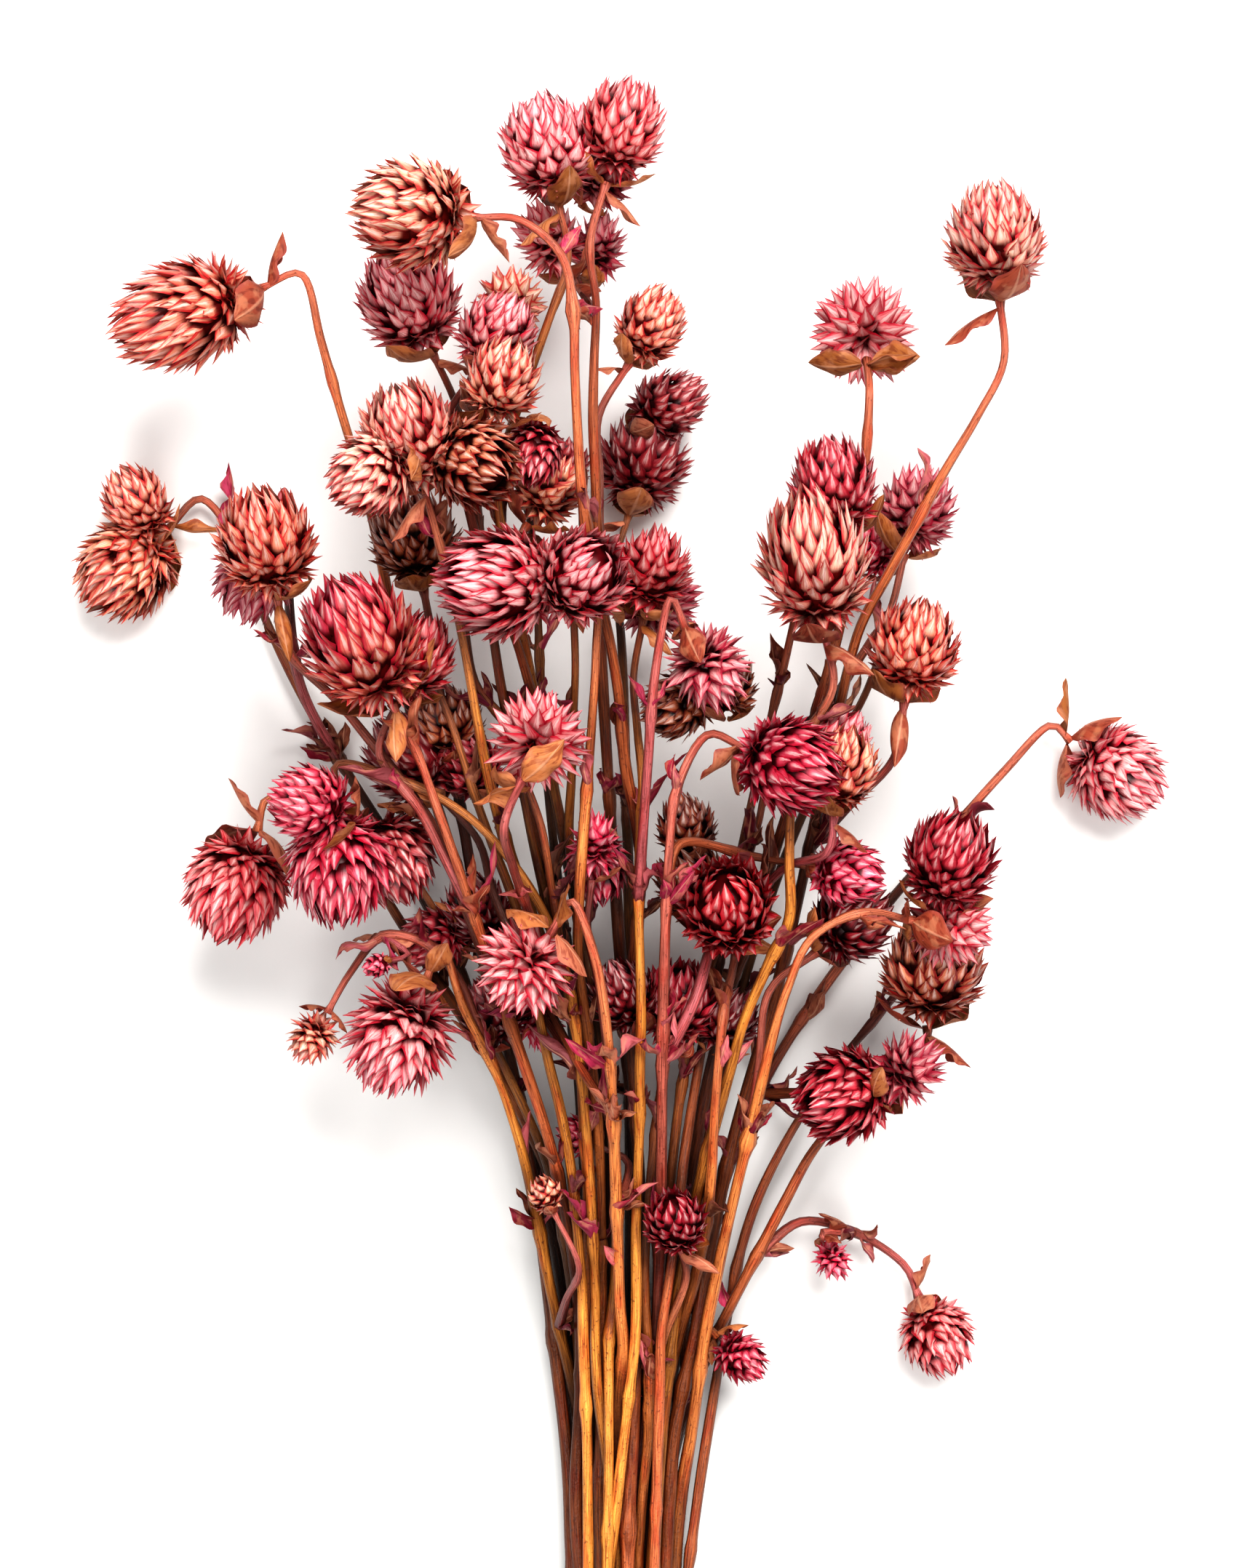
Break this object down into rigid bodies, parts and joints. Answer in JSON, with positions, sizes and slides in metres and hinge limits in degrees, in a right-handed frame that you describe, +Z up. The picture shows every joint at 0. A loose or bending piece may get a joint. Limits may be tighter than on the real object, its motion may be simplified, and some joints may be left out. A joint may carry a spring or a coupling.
{
  "type": "dried globe amaranth",
  "caption": "Loose bunch of dried globe amaranth lying down: round papery bracted heads at many heights on thin hooked and branching stems that run together at the cut ends.",
  "frame": {"origin": "middle of the bunch's footprint, on the surface that it lies on", "axes": "+Y from the cut ends towards the flower heads, +Z up from the surface, +X to the right when the bunch is seen from above with its heads at the top"},
  "size_m": [0.2537, 0.3959, 0.1014],
  "materials": {
    "stalks": "dry ribbed stem, caramel to pinkish brown",
    "tan_heads": "matt, stiff papery bracts",
    "blush_heads": "matt, stiff papery bracts",
    "dusky_heads": "matt, stiff papery bracts",
    "magenta_heads": "matt, stiff papery bracts",
    "rose_heads": "matt, stiff papery bracts"
  },
  "bodies": {
    "root": {"head_centre_left": "rose_heads", "head_crimson_low": "magenta_heads", "head_dark_left": "dusky_heads", "head_far_right": "rose_heads", "head_front_open": "blush_heads", "head_hanging": "rose_heads", "head_low_right": "rose_heads", "head_lower_left": "magenta_heads", "head_nodding_left": "tan_heads", "head_tall_right": "blush_heads", "head_tan_right": "tan_heads", "head_top_left": "blush_heads", "head_upper_left": "rose_heads", "head_upper_right": "rose_heads", "head_upper_small": "rose_heads", "heads_back_left_pair": "dusky_heads", "heads_back_right_pair": "rose_heads", "heads_blush_trio": "blush_heads", "heads_bright_right_pair": "rose_heads", "heads_bright_small_pair": "magenta_heads", "heads_dark_lower_pair": "rose_heads", "heads_drooping_trio": "magenta_heads", "heads_dusky_pair": "dusky_heads", "heads_far_left_pair": "tan_heads", "heads_front_trio": "rose_heads", "heads_heart_trio": "dusky_heads", "heads_hooked_trio": "magenta_heads", "heads_inner_trio": "dusky_heads", "heads_left_pair": "rose_heads", "heads_long_pair": "rose_heads", "heads_lower_right_pair": "rose_heads", "heads_magenta_pair": "magenta_heads", "heads_middle_pair": "rose_heads", "heads_right_trio": "rose_heads", "heads_rosy_pair": "rose_heads", "heads_small_lower_pair": "rose_heads", "heads_top_pair": "rose_heads", "heads_top_trio": "rose_heads", "heads_tucked_trio": "rose_heads", "heads_upper_trio": "rose_heads", "stalk_arched": "stalks", "stalk_blush": "stalks", "stalk_dusky": "stalks", "stalk_far_left": "stalks", "stalk_far_right": "stalks", "stalk_front": "stalks", "stalk_front_open": "stalks", "stalk_hanging": "stalks", "stalk_hooked": "stalks", "stalk_long_right": "stalks", "stalk_lower_left": "stalks", "stalk_lower_right": "stalks", "stalk_magenta": "stalks", "stalk_middle": "stalks", "stalk_nodding_left": "stalks", "stalk_right": "stalks", "stalk_tall_right": "stalks", "stalk_top": "stalks", "stalk_top_right": "stalks", "stalk_upper_right": "stalks"}
  },
  "joints": []
}
